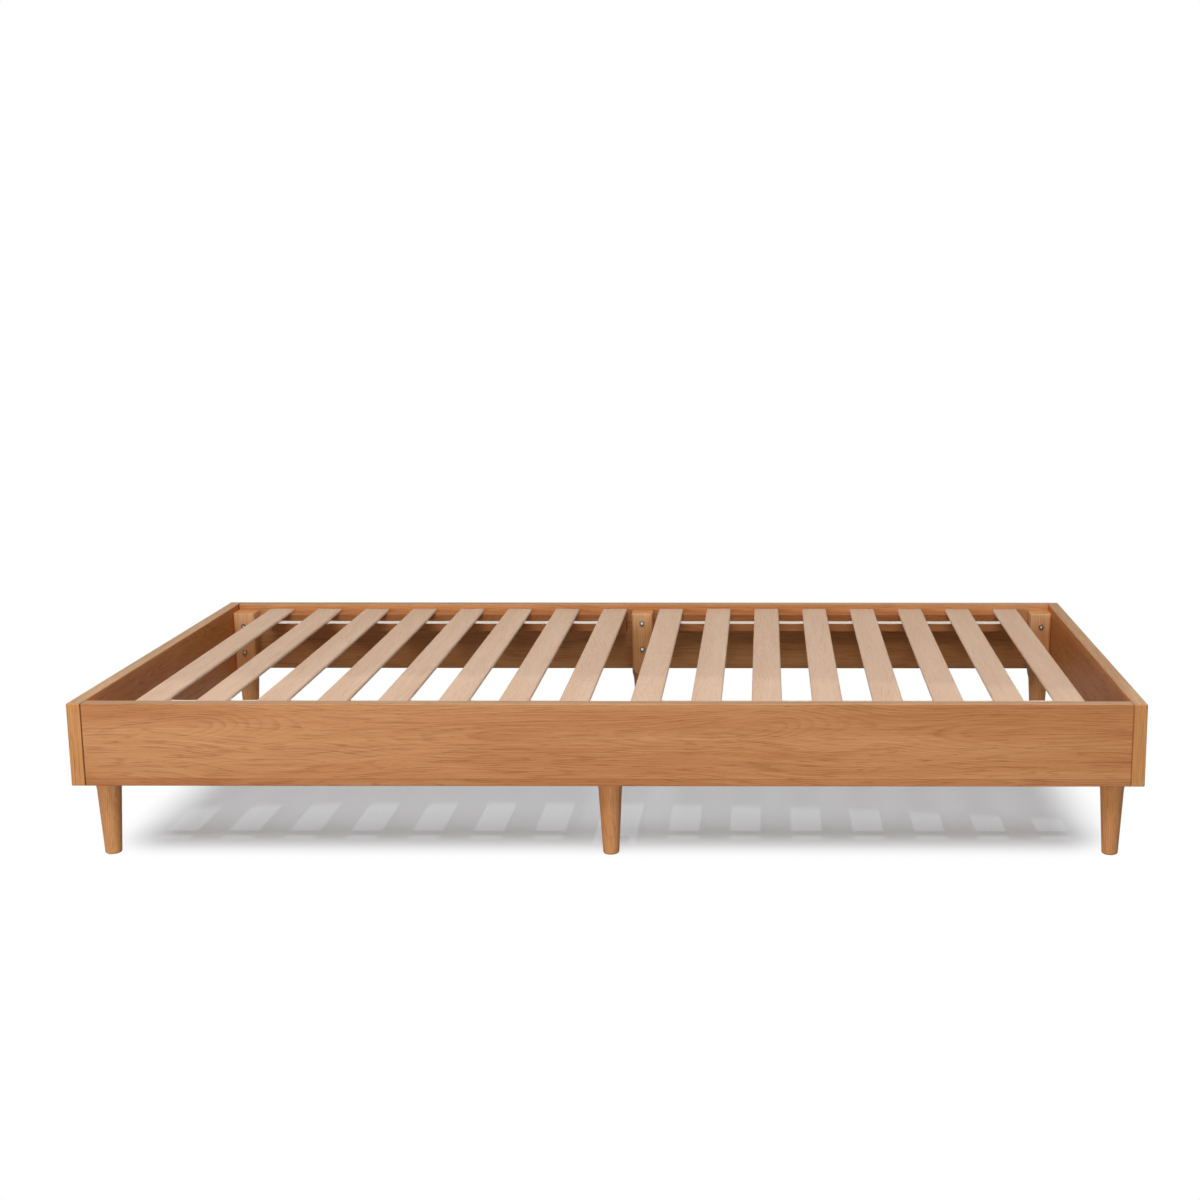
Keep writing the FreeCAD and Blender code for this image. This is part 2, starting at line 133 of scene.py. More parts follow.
class Bench:
    """Adds nodes to one tree, feeds them, and hands back the socket that is wanted."""

    SHIFT_WAY = (1.0, 1.7, 0.6)

    def __init__(self, tree: NodeTree) -> None:
        """Keeps the tree to work on."""
        self.tree = tree

    def feed(self, socket: Socket, value: Feed) -> None:
        """Links a socket, or sets its value.

        Args:
            socket: The input to feed.
            value: A socket to link, a value to set, or None to leave it alone.
        """
        if isinstance(value, Socket):
            self.tree.links.new(value, socket)
        elif value is not None:
            if socket.type == "RGBA" and len(value) == 3:
                value = (*value, 1.0)
            socket.default_value = value

    def node(self, kind: str, *feeds: Feed, **settings: object) -> Node:
        """Adds a node and feeds its open inputs in their order.

        Args:
            kind: The node's type name.
            feeds: What its inputs get, None for one that keeps its default.
            settings: The node's own properties.

        Returns:
            The node.
        """
        made = self.tree.nodes.new(kind)
        for name, value in settings.items():
            setattr(made, name, value)
        for socket, value in zip([s for s in made.inputs if s.enabled], feeds):
            self.feed(socket, value)
        return made

    def take(self, kind: str, *feeds: Feed, **settings: object) -> Socket:
        """Adds a node as node() does, and returns its first open output."""
        made = self.node(kind, *feeds, **settings)
        return next(s for s in made.outputs if s.enabled)

    def math(self, operation: str, *feeds: Feed) -> Socket:
        """Returns the result of one number operation."""
        return self.take("ShaderNodeMath", *feeds, operation=operation)

    def times(self, value: Feed, factor: Feed) -> Socket:
        """Returns a value times a factor."""
        return self.math("MULTIPLY", value, factor)

    def over(self, value: Feed, divisor: Feed) -> Socket:
        """Returns a value over a divisor."""
        return self.math("DIVIDE", value, divisor)

    def minus(self, value: Feed, less: Feed) -> Socket:
        """Returns a value less another."""
        return self.math("SUBTRACT", value, less)

    def scaled(self, value: Feed, factor: Feed, more: Feed) -> Socket:
        """Returns a value times a factor, and some more."""
        return self.math("MULTIPLY_ADD", value, factor, more)

    def vector(self, operation: str, *feeds: Feed) -> Socket:
        """Returns the result of one vector operation."""
        return self.take("ShaderNodeVectorMath", *feeds, operation=operation)

    def join(self, x: Feed, y: Feed, z: Feed) -> Socket:
        """Returns a vector made of three numbers."""
        return self.take("ShaderNodeCombineXYZ", x, y, z)

    def split(self, vector: Socket) -> tuple[Socket, Socket, Socket]:
        """Returns the three numbers of a vector."""
        made = self.node("ShaderNodeSeparateXYZ", vector)
        return made.outputs[0], made.outputs[1], made.outputs[2]

    def gap(self, value: Feed, mark: Feed) -> Socket:
        """Returns how far a value is from a mark, on either side."""
        return self.math("ABSOLUTE", self.minus(value, mark))

    def noise(self, vector: Socket, cells: Sequence[float], detail: float = 2.0,
              shift: float = 0.0) -> Socket:
        """Returns smooth noise from 0 to 1.

        Args:
            vector: Where to read it.
            cells: Cells per metre along each axis.
            detail: Finer layers on top of the first.
            shift: Moves to another part of the same noise.

        Returns:
            The noise's value.
        """
        moved = [shift * part for part in self.SHIFT_WAY]
        placed = self.vector("MULTIPLY_ADD", vector, tuple(cells), moved)
        return self.take("ShaderNodeTexNoise", placed, 1.0, detail)

    def mix(self, factor: Feed, low: Feed, high: Feed, kind: str = "RGBA", blend: str = "MIX") -> Socket:
        """Returns a blend of two values of one kind.

        Args:
            factor: 0 for the first value, 1 for the second.
            low: The first value.
            high: The second value.
            kind: RGBA, VECTOR or FLOAT.
            blend: How colours are blended.

        Returns:
            The blend.
        """
        return self.take("ShaderNodeMix", factor, low, high, data_type=kind, blend_type=blend)

    def stain(self, factor: Feed, colour: Socket, tint: Feed) -> Socket:
        """Returns a colour with a tint laid over it where the factor says."""
        return self.mix(factor, colour, tint, blend="MULTIPLY")

    def span(self, value: Feed, low: float, high: float, start: float = 0.0, stop: float = 1.0) -> Socket:
        """Returns a smooth step of a value from start at low to stop at high."""
        return self.take("ShaderNodeMapRange", value, low, high, start, stop, interpolation_type="SMOOTHSTEP")


Given = dict[str, Socket]
Group = tuple[Bench, Given, Node]


def new_group(name: str, takes: dict[str, Feed], gives: Iterable[str]) -> Group:
    """Starts a shader group with named inputs and outputs.

    Args:
        name: The group's name.
        takes: Each input's name with its first value: a number, or three numbers for a colour or a place.
        gives: The outputs' names. Color is a colour, and the others are numbers.

    Returns:
        The bench to build on, the group's inputs by name, and its output node.
    """
    tree = bpy.data.node_groups.new(name, "ShaderNodeTree")
    for label, value in takes.items():
        kind = "Float" if isinstance(value, float) else "Vector" if label == "Place" else "Color"
        socket = tree.interface.new_socket(label, in_out="INPUT", socket_type=f"NodeSocket{kind}")
        if kind != "Vector":
            socket.default_value = (*value, 1.0) if kind == "Color" else value
    for label in gives:
        kind = "Color" if label == "Color" else "Float"
        tree.interface.new_socket(label, in_out="OUTPUT", socket_type=f"NodeSocket{kind}")
    bench = Bench(tree)
    inputs = tree.nodes.new("NodeGroupInput")
    return bench, {label: inputs.outputs[label] for label in takes}, tree.nodes.new("NodeGroupOutput")


# --- the wood's figure


class Layer(Enum):
    """The noises in the wood: cells per metre along the grain, across it and into it, detail and shift."""

    SLOW_WAVES = ((2.6, 13, 13), 2.0, 3.1)
    QUICK_WAVES = ((14, 95, 95), 2.0, 7.7)
    RING_PATCHES = ((5, 34, 34), 2.0, 1.3)
    HAIR_LEVELS = ((4.5, 120, 120), 2.0, 6.3)
    HAIR_BREAKS = ((14, 260, 260), 1.0, 9.5)
    STREAKS = ((7, 330, 330), 3.0, 5.9)
    PORES = ((60, 900, 900), 1.0, 4.4)
    TONES = ((1.3, 19, 19), 2.0, 8.8)


ARCH_UNEVENNESS = 0.9
PITH_SWAY = 0.01
SLOW_WAVE_HEIGHT = 0.014
QUICK_WAVE_HEIGHT = 0.0022
LATE_WOOD_START = 0.35
LATE_WOOD_PEAK = 0.92
WEAKEST_RING = 0.25
LINE_BOW = 0.45
HAIRS_PER_NOISE = 7.0
HAIR_SHARE = 0.6
LIGHT_STREAK_SHARE = 0.45
LIGHT_STREAK_TINT = (1.0, 0.86, 0.66)
DARK_ROUGHNESS = 0.12
FIGURE_INPUTS = {"Pith": 0.13, "Cut": 0.05, "Swing": 0.03, "Ring": 0.005, "Lines": 0.5, "Streaks": 0.3,
                 "Pores": 0.3, "Tones": 0.5, "Pale": WHITE, "Warm": WHITE, "Deep": WHITE, "Gloss": 0.42}


def ring_radius(bench: Bench, given: Given) -> Socket:
    """Works out how far a point is from the log's pith, where the cut nears the pith and leaves it in arches.

    Args:
        bench: The group's bench.
        given: The group's inputs.

    Returns:
        The distance in metres, with the rings' waves in it.
    """
    place = given["Place"]
    along, across, depth = bench.split(place)
    turn = bench.times(bench.over(along, given["Repeat"]), 2 * math.pi)
    uneven = bench.scaled(bench.math("SINE", turn), ARCH_UNEVENNESS, turn)
    cut = bench.scaled(bench.math("SINE", uneven), given["Swing"], given["Cut"])
    pith = bench.scaled(bench.math("COSINE", uneven), PITH_SWAY, given["Pith"])
    offset = bench.join(bench.minus(across, pith), bench.math("ADD", depth, cut), 0.0)
    slow = bench.minus(bench.noise(place, *Layer.SLOW_WAVES.value), 0.5)
    quick = bench.minus(bench.noise(place, *Layer.QUICK_WAVES.value), 0.5)
    waved = bench.scaled(slow, SLOW_WAVE_HEIGHT, bench.vector("LENGTH", offset))
    return bench.scaled(quick, QUICK_WAVE_HEIGHT, waved)


def growth_rings(bench: Bench, given: Given, radius: Socket) -> Socket:
    """Draws the rings' dark late wood, patchy, and weaker in some rings than in others.

    Args:
        bench: The group's bench.
        given: The group's inputs.
        radius: The distance from the pith.

    Returns:
        How dark the rings are, 0 to 1.
    """
    phase = bench.over(radius, given["Ring"])
    part = bench.math("FRACT", phase)
    late = bench.times(bench.span(part, LATE_WOOD_START, LATE_WOOD_PEAK),
                       bench.span(part, LATE_WOOD_PEAK, 1.0, 1.0, 0.0))
    chance = bench.take("ShaderNodeTexWhiteNoise", bench.math("FLOOR", phase), noise_dimensions="1D")
    strength = bench.scaled(chance, 1.0 - WEAKEST_RING, WEAKEST_RING)
    patch = bench.span(bench.noise(given["Place"], *Layer.RING_PATCHES.value), 0.36, 0.62, 0.25, 1.0)
    return bench.times(late, bench.times(patch, strength))


def fine_lines(bench: Bench, given: Given, radius: Socket) -> Socket:
    """Draws broken hair lines and streaks that bow with the rings.

    Args:
        bench: The group's bench.
        given: The group's inputs.
        radius: The distance from the pith.

    Returns:
        How dark the lines are, below 0 where a streak is light.
    """
    along, across, depth = bench.split(given["Place"])
    bowed = bench.join(along, bench.scaled(radius, LINE_BOW, across), depth)
    level = bench.times(bench.noise(bowed, *Layer.HAIR_LEVELS.value), HAIRS_PER_NOISE)
    edge = bench.gap(bench.math("FRACT", level), 0.5)
    broken = bench.span(bench.noise(bowed, *Layer.HAIR_BREAKS.value), 0.40, 0.58)
    hairs = bench.times(bench.span(edge, 0.05, 0.30, 1.0, 0.0), broken)
    streak = bench.minus(bench.noise(bowed, *Layer.STREAKS.value), 0.5)
    return bench.times(bench.scaled(hairs, HAIR_SHARE, streak), given["Streaks"])


def wood_figure_group() -> ShaderNodeTree:
    """Builds the figure of sawn or sliced wood: rings cut at a slant, fine lines, pores and broad tones.

    Returns:
        The group, whose Place is the distance along the grain, across it, and into the wood.
    """
    takes = {"Place": (0, 0, 0), "Repeat": 1.03, **FIGURE_INPUTS}
    bench, given, result = new_group("Wood figure", takes, ("Color", "Roughness", "Height"))
    radius = ring_radius(bench, given)
    dark = bench.scaled(growth_rings(bench, given, radius), given["Lines"], fine_lines(bench, given, radius))
    pores = bench.span(bench.noise(given["Place"], *Layer.PORES.value), 0.60, 0.74)
    dark = bench.scaled(pores, given["Pores"], dark)
    tone = bench.span(bench.noise(given["Place"], *Layer.TONES.value), 0.34, 0.66)
    base = bench.mix(bench.times(tone, given["Tones"]), given["Pale"], given["Warm"])
    light = bench.math("MAXIMUM", bench.times(dark, -LIGHT_STREAK_SHARE), 0.0)
    lighter = bench.mix(light, base, LIGHT_STREAK_TINT)
    deep = bench.stain(1.0, base, given["Deep"])
    colour = bench.mix(bench.math("MINIMUM", bench.math("MAXIMUM", dark, 0.0), 1.0), lighter, deep)
    bench.feed(result.inputs["Color"], colour)
    bench.feed(result.inputs["Roughness"], bench.scaled(dark, DARK_ROUGHNESS, given["Gloss"]))
    bench.feed(result.inputs["Height"], bench.times(dark, -1.0))
    return bench.tree


# --- metal and webbing


SPOT_CELLS = (600, 600, 600)
GRAIN_CELLS = (2600, 2600, 2600)
FUZZ_CELLS = (900, 2600, 1)


def worn_metal_group() -> ShaderNodeTree:
    """Returns a group of plated metal: a fine grain, dull spots and uneven gloss."""
    takes = {"Place": (0, 0, 0), "Bright": (0.8, 0.8, 0.8), "Dull": (0.5, 0.5, 0.5), "Gloss": 0.25}
    bench, given, result = new_group("Plated metal", takes, ("Color", "Roughness", "Height"))
    spots = bench.span(bench.noise(given["Place"], SPOT_CELLS, 3.0), 0.42, 0.66)
    grain = bench.noise(given["Place"], GRAIN_CELLS, 2.0, 3.0)
    bench.feed(result.inputs["Color"], bench.mix(spots, given["Bright"], given["Dull"]))
    rough = bench.scaled(spots, 0.15, given["Gloss"])
    bench.feed(result.inputs["Roughness"], bench.scaled(grain, 0.08, rough))
    bench.feed(result.inputs["Height"], grain)
    return bench.tree


def flat_weave_group() -> ShaderNodeTree:
    """Returns a group of woven strap, whose Place is the strap's own map, along it and across it."""
    takes = {"Place": (0, 0, 0), "Cord": 0.0016, "Pick": 0.0022, "Thread": (0.9, 0.85, 0.8),
             "Gap": (0.6, 0.5, 0.45)}
    bench, given, result = new_group("Flat weave", takes, ("Color", "Roughness", "Height"))
    along, across, _ = bench.split(given["Place"])
    column = bench.over(across, given["Cord"])
    stagger = bench.times(bench.math("FLOOR", column), 0.5)
    row = bench.math("ADD", bench.over(along, given["Pick"]), stagger)
    bow = bench.math("ABSOLUTE", bench.math("SINE", bench.times(column, math.pi)))
    swell = bench.math("ABSOLUTE", bench.math("SINE", bench.times(row, math.pi)))
    height = bench.times(bench.math("POWER", bow, 0.6), bench.scaled(swell, 0.7, 0.3))
    fuzz = bench.noise(given["Place"], FUZZ_CELLS)
    shade = bench.span(bench.scaled(fuzz, 0.25, height), 0.15, 0.75)
    bench.feed(result.inputs["Color"], bench.mix(shade, given["Gap"], given["Thread"]))
    bench.feed(result.inputs["Roughness"], bench.scaled(fuzz, 0.2, 0.7))
    bench.feed(result.inputs["Height"], height)
    return bench.tree


# --- how grain lies on each piece


@dataclass(frozen=True)
class Point:
    """A shaded point: its place on its object and the way its face looks, whole and by axis."""

    spot: Socket
    x: Socket
    y: Socket
    z: Socket
    face_x: Socket
    face_y: Socket
    face_z: Socket

    @classmethod
    def read(cls, bench: Bench) -> "Point":
        """Reads the point that a material is asked about."""
        node = bench.tree.nodes.new("ShaderNodeTexCoord")
        spot = node.outputs["Object"]
        return cls(spot, *bench.split(spot), *bench.split(node.outputs["Normal"]))


LEVEL_FACE = 0.7
INNER_FACE = -0.25

# Where each face reads the figure of the log, so that no two faces of a board match.
OUTER_LEAF_SHIFT = -0.37
BACK_RAIL_SHIFT = 0.23
RAIL_EDGE_SHIFT = (3.3, 1.0)
PANEL_SIDE_SHIFT = 0.41
PANEL_END_SHIFT = 0.6
PANEL_TOP_SHIFT = (5.1, 1.3)
PANEL_FRONT_SHIFT = 7.7
LEDGER_SIDE_SHIFT = 3.0
LEDGER_LEVEL = 0.2
LEFT_SLATS_SHIFT = 9.0
SLAT_CHANCE = (6.0, 0.16, 0.3)
LEG_CHANCE = (4.0, 0.05, 0.3)
LEG_BLANK = (0.9, 0.7, 20.0)
LEG_BLANK_START = (0.45, 0.0, 5.0)

# Slat faces between these slopes, their sides and undersides, get painted light.
SLAT_SIDE_FROM, SLAT_SIDE_TO = 0.75, -0.1
# The legs' sides get painted light between these heights.
LEG_LIT_FROM, LEG_LIT_TO = 0.225, 0.28


def level_face(bench: Bench, part: Socket) -> Socket:
    """Returns 1 where a face looks mostly along the axis of one part of its normal."""
    return bench.math("GREATER_THAN", bench.math("ABSOLUTE", part), LEVEL_FACE)


def rail_place(bench: Bench, point: Point, sizes: BedSizes) -> Socket:
    """Returns the grain's place on a rail, along X, with another leaf on each side."""
    outer = bench.math("GREATER_THAN", bench.times(point.face_y, point.y), 0.0)
    back = bench.math("GREATER_THAN", point.y, 0.0)
    moved = bench.scaled(outer, OUTER_LEAF_SHIFT, bench.scaled(back, BACK_RAIL_SHIFT, point.x))
    side = bench.join(moved, bench.minus(point.z, sizes.board_bottom), 0.0)
    edge = bench.join(bench.math("ADD", point.x, RAIL_EDGE_SHIFT[0]),
                      bench.math("ADD", point.y, RAIL_EDGE_SHIFT[1]), 0.0)
    return bench.mix(level_face(bench, point.face_z), side, edge, "VECTOR")


def panel_place(bench: Bench, point: Point, sizes: BedSizes) -> Socket:
    """Returns the grain's place on a panel, along Y, and upright on its front and back edges."""
    along = bench.scaled(point.face_x, PANEL_SIDE_SHIFT, point.y)
    height = bench.minus(point.z, sizes.board_bottom)
    side = bench.join(bench.scaled(point.x, PANEL_END_SHIFT, along), height, 0.0)
    top = bench.join(bench.math("ADD", point.y, PANEL_TOP_SHIFT[0]),
                     bench.math("ADD", point.x, PANEL_TOP_SHIFT[1]), 0.0)
    front = bench.join(bench.math("ADD", point.z, PANEL_FRONT_SHIFT), point.x, point.y)
    flat = bench.mix(level_face(bench, point.face_z), side, top, "VECTOR")
    return bench.mix(level_face(bench, point.face_y), flat, front, "VECTOR")


def slat_place(bench: Bench, point: Point, sizes: BedSizes) -> Socket:
    """Returns the grain's place on a slat, along Y, each slat from its own part of the log."""
    left = bench.math("LESS_THAN", point.x, 0.0)
    past = bench.minus(bench.math("ABSOLUTE", point.x), sizes.first_slat)
    count = bench.math("ROUND", bench.over(past, sizes.slat_pitch))
    number = bench.scaled(left, LEFT_SLATS_SHIFT, count)
    chance = bench.node("ShaderNodeTexWhiteNoise", number, noise_dimensions="1D").outputs["Color"]
    return bench.vector("MULTIPLY_ADD", chance, SLAT_CHANCE, bench.join(point.y, point.x, point.z))


def ledger_place(bench: Bench, point: Point, _: BedSizes) -> Socket:
    """Returns the grain's place on a ledger, along X."""
    along = bench.scaled(point.y, LEDGER_SIDE_SHIFT, point.x)
    return bench.join(along, bench.minus(point.z, LEDGER_LEVEL), point.y)


def leg_place(bench: Bench, point: Point, _: BedSizes) -> Socket:
    """Returns the grain's place on a leg, upright, each leg from its own blank."""
    blank = bench.vector("SNAP", bench.vector("ADD", point.spot, LEG_BLANK_START), LEG_BLANK)
    chance = bench.node("ShaderNodeTexWhiteNoise", blank, noise_dimensions="3D").outputs["Color"]
    return bench.vector("MULTIPLY_ADD", chance, LEG_CHANCE, bench.join(point.z, point.x, point.y))


class Layout(Enum):
    """How the wood of a piece is laid: sliced and glued on face by face, or sawn from one length."""

    RAIL = "veneered, grain along X"
    PANEL = "veneered, grain along Y and upright on the front and back edges"
    LEDGER = "sawn, grain along X"
    SLAT = "sawn, grain along Y, no two alike"
    LEG = "turned from upright blanks, no two alike"

    def place(self, bench: Bench, point: Point, sizes: BedSizes) -> Socket:
        """Returns the distance along the grain, across it, and into the wood at a point."""
        return PLACES[self](bench, point, sizes)

    def painted_light_faces(self, bench: Bench, point: Point) -> Socket:
        """Marks the faces whose colour gets painted light.

        Args:
            bench: The material's bench.
            point: The point.

        Returns:
            1 on the level edges of boards and strips, on the slats' sides and on the upper part of the
            legs' sides, and 0 elsewhere.
        """
        if self is Layout.SLAT:
            return bench.span(point.face_z, SLAT_SIDE_TO, SLAT_SIDE_FROM, 1.0, 0.0)
        level = level_face(bench, point.face_z)
        if self is Layout.LEG:
            upright = bench.minus(1.0, level)
            return bench.times(upright, bench.span(point.z, LEG_LIT_FROM, LEG_LIT_TO))
        return level


PLACES = {Layout.RAIL: rail_place, Layout.PANEL: panel_place, Layout.LEDGER: ledger_place,
          Layout.SLAT: slat_place, Layout.LEG: leg_place}


# --- finishes


def start_material(name: str) -> tuple[Bench, Node, Material]:
    """Starts a material, and returns the bench to build on, its shader, and the material."""
    made = bpy.data.materials.new(name)
    made.use_nodes = True
    return Bench(made.node_tree), made.node_tree.nodes["Principled BSDF"], made


def dress(bench: Bench, shader: Node, group: ShaderNodeTree, feeds: dict[str, Feed],
          strength: float, depth: float) -> Socket:
    """Places a group in a material and wires its colour, roughness and relief to the shader.

    Args:
        bench: The material's bench.
        shader: The material's shader.
        group: The group to place.
        feeds: What the group's inputs get, by name.
        strength: How strongly the relief shows.
        depth: The relief's depth in metres.

    Returns:
        The group's colour.
    """
    node = bench.node("ShaderNodeGroup", node_tree=group)
    for label, value in feeds.items():
        bench.feed(node.inputs[label], value)
    bump = bench.node("ShaderNodeBump", strength, depth)
    bench.feed(bump.inputs["Height"], node.outputs["Height"])
    bench.feed(shader.inputs["Base Color"], node.outputs["Color"])
    bench.feed(shader.inputs["Roughness"], node.outputs["Roughness"])
    bench.feed(shader.inputs["Normal"], bump.outputs["Normal"])
    return node.outputs["Color"]


@dataclass(frozen=True)
class RailTrim:
    """What is drawn on a rail: a narrow leaf along its foot, joint lines round its outer face, painted shade
    at its ends.
    """

    leaf_height: float = 0.0138
    leaf_tint: Colour = (0.86, 0.78, 0.72)
    leaf_strength: float = 0.85
    seam_edges: tuple[float, float] = (0.0003, 0.0011)
    seam_tint: Colour = (0.55, 0.45, 0.38)
    seam_strength: float = 0.5
    lip_drop: float = 0.0022
    lip_edges: tuple[float, float] = (0.0002, 0.0008)
    lip_tint: Colour = (0.6, 0.5, 0.42)
    lip_strength: float = 0.35
    # Painted shade in the real joint where the rail meets a panel: its width, colour, strength at the left
    # and right ends, and where the strength changes.
    joint_edges: tuple[float, float] = (0.0020, 0.0013)
    joint_shade_tint: Colour = (0.12, 0.08, 0.06)
    joint_shade_strengths: tuple[float, float] = (1.0, 0.40)
    joint_shade_change: float = 0.5

    def draw(self, bench: Bench, point: Point, sizes: BedSizes, colour: Socket) -> Socket:
        """Draws the trim and the painted shade at the rail's ends on the wood.

        Args:
            bench: The material's bench.
            point: The point.
            sizes: The bed's sizes.
            colour: The wood's colour.

        Returns:
            The colour with the trim in it.
        """
        outwards = bench.times(point.face_y, bench.math("SIGN", point.y))
        outer = bench.math("GREATER_THAN", outwards, LEVEL_FACE)
        seam_level = sizes.board_bottom + self.leaf_height
        under = bench.times(outer, bench.math("LESS_THAN", point.z, seam_level))
        colour = bench.stain(bench.times(under, self.leaf_strength), colour, self.leaf_tint)
        # Painted shade in the joint gap at the rail's ends, where it meets the panels, stronger at the left
        # end.
        joint_shade_ends = (sizes.inner_half_length - edge for edge in self.joint_edges)
        joint_shade = bench.span(bench.math("ABSOLUTE", point.x), *joint_shade_ends)
        shade_fading = bench.span(point.x, -self.joint_shade_change, self.joint_shade_change, *self.joint_shade_strengths)
        colour = bench.stain(bench.times(joint_shade, shade_fading), colour, self.joint_shade_tint)
        for level, edges, tint, strength in (
                (seam_level, self.seam_edges, self.seam_tint, self.seam_strength),
                (sizes.board_top - self.lip_drop, self.lip_edges, self.lip_tint, self.lip_strength)):
            line = bench.times(outer, bench.span(bench.gap(point.z, level), *edges, 1.0, 0.0))
            colour = bench.stain(bench.times(line, strength), colour, tint)
        return colour


@dataclass(frozen=True)
class WoodFinish:
    """A lacquered wood: its layout, colours and figure."""

    name: str
    layout: Layout
    pale: Colour
    warm: Colour
    deep: Colour
    pith: float = 0.13
    cut: float = 0.05
    swing: float = 0.03
    ring: float = 0.005
    lines: float = 0.5
    streaks: float = 0.5
    pores: float = 0.3
    tones: float = 0.6
    gloss: float = 0.55
    specular: float = 0.16
    relief: float = 0.35
    relief_depth: float = 0.0003
    # The tint is painted light on the faces the layout marks: a painted sheen on level faces, painted light
    # on slat sides and upper leg sides.
    tint: Colour = WHITE
    # The inner tint is painted light on the rails' faces into the bed, and painted shade on the panels' faces
    # into the bed.
    inner_painted_shading: Colour = WHITE
    trim: RailTrim | None = None

    def material(self, group: ShaderNodeTree, sizes: BedSizes) -> Material:
        """Returns the material, built on the wood figure group for a bed of these sizes."""
        bench, shader, made = start_material(self.name)
        point = Point.read(bench)
        feeds = {label: getattr(self, label.lower()) for label in FIGURE_INPUTS}
        feeds["Place"] = self.layout.place(bench, point, sizes)
        colour = dress(bench, shader, group, feeds, self.relief, self.relief_depth)
        colour = self.with_painted_light_and_shade(bench, point, colour)
        if self.trim:
            colour = self.trim.draw(bench, point, sizes, colour)
        bench.feed(shader.inputs["Base Color"], colour)
        shader.inputs["Specular IOR Level"].default_value = self.specular
        return made

    def with_painted_light_and_shade(self, bench: Bench, point: Point, colour: Socket) -> Socket:
        """Lays the tint, which is painted light, on the marked faces: a painted sheen on level faces.

        Args:
            bench: The material's bench.
            point: The point.
            colour: The wood's colour.

        Returns:
            The colour, with the inner tint on the faces of rails and panels that look into the bed: painted
            light on the rails, painted shade on the panels.
        """
        colour = bench.stain(self.layout.painted_light_faces(bench, point), colour, self.tint)
        if self.inner_painted_shading == WHITE:
            return colour
        # Painted light on the rails' inner faces, painted shade on the panels' inner faces.
        place, face = (point.y, point.face_y) if self.layout is Layout.RAIL else (point.x, point.face_x)
        inner = bench.math("LESS_THAN", bench.times(place, face), INNER_FACE)
        return bench.stain(inner, colour, self.inner_painted_shading)


@dataclass(frozen=True)
class MetalFinish:
    """A plated or plain metal, and for the rail bolts a painted dark reflection round each head's crown."""

    name: str
    bright: Colour
    dull: Colour
    gloss: float
    crown_radius: float = 0.0
    dark_reflection_width: float = 0.0014
    dark_reflection: Colour = (0.07, 0.055, 0.04)
    dark_reflection_strength: float = 0.9
    relief: float = 0.15
    relief_depth: float = 0.0001

    def material(self, group: ShaderNodeTree, sizes: BedSizes) -> Material:
        """Returns the material, built on the plated metal group for a bed of these sizes."""
        bench, shader, made = start_material(self.name)
        point = Point.read(bench)
        feeds = {"Place": point.spot, "Bright": self.bright, "Dull": self.dull, "Gloss": self.gloss}
        colour = dress(bench, shader, group, feeds, self.relief, self.relief_depth)
        shader.inputs["Metallic"].default_value = 1.0
        # Painted dark reflection in a ring round the bolt head's brighter crown.
        if self.crown_radius:
            off_axis = self.off_axis(bench, point, sizes)
            dark_reflection = bench.span(off_axis, self.crown_radius, self.crown_radius + self.dark_reflection_width)
            colour = bench.stain(bench.times(dark_reflection, self.dark_reflection_strength), colour, self.dark_reflection)
            bench.feed(shader.inputs["Base Color"], colour)
        return made

    def off_axis(self, bench: Bench, point: Point, sizes: BedSizes) -> Socket:
        """Returns how far a point is from the axis of the nearest rail bolt."""
        far = bench.math("ABSOLUTE", point.x)
        corner = bench.math("GREATER_THAN", far, sizes.leg_reach / 2)
        sideways = bench.minus(far, bench.times(corner, sizes.leg_reach))
        level = bench.mix(corner, sizes.middle_bolts, sizes.corner_bolts, "FLOAT")
        upright = bench.minus(bench.gap(point.z, level), sizes.bolt_gap / 2)
        return bench.vector("LENGTH", bench.join(sideways, upright, 0.0))


@dataclass(frozen=True)
class StrapFinish:
    """The woven webbing."""

    name: str
    thread: Colour
    gap: Colour
    sheen: float = 0.15
    relief: float = 0.6
    relief_depth: float = 0.0004

    def material(self, group: ShaderNodeTree) -> Material:
        """Returns the material, built on the flat weave group."""
        bench, shader, made = start_material(self.name)
        strap_map = bench.node("ShaderNodeUVMap", uv_map="strap").outputs["UV"]
        feeds = {"Place": strap_map, "Thread": self.thread, "Gap": self.gap}
        dress(bench, shader, group, feeds, self.relief, self.relief_depth)
        shader.inputs["Sheen Weight"].default_value = self.sheen
        return made


BOARD_FIGURE = {"deep": (0.60, 0.48, 0.40), "cut": 0.032, "swing": 0.014, "ring": 0.0038, "lines": 0.45,
                "streaks": 0.65, "pores": 0.35}
# Boards: the tint is a painted sheen on level faces, and the inner tint is painted light on faces into the
# bed.
BOARD_VENEER = WoodFinish("Board veneer", Layout.RAIL, paint(203, 144, 95), paint(182, 116, 68),
                          pith=0.105, tint=(0.85, 1.12, 1.50), inner_painted_shading=(1.10, 1.14, 1.10),
                          trim=RailTrim(), **BOARD_FIGURE)
# Panels: the tint is a painted sheen on level faces, and the inner tint is painted shade on faces into the
# bed.
PANEL_VENEER = WoodFinish("Panel veneer", Layout.PANEL, paint(208, 148, 92), paint(190, 122, 64),
                          tint=(0.91, 1.19, 1.80), inner_painted_shading=(0.92, 0.74, 0.60), **BOARD_FIGURE)
LEDGER_WOOD = WoodFinish("Ledger wood", Layout.LEDGER, paint(188, 124, 76), paint(168, 100, 56),
                         (0.66, 0.55, 0.46), pith=0.2, ring=0.004)
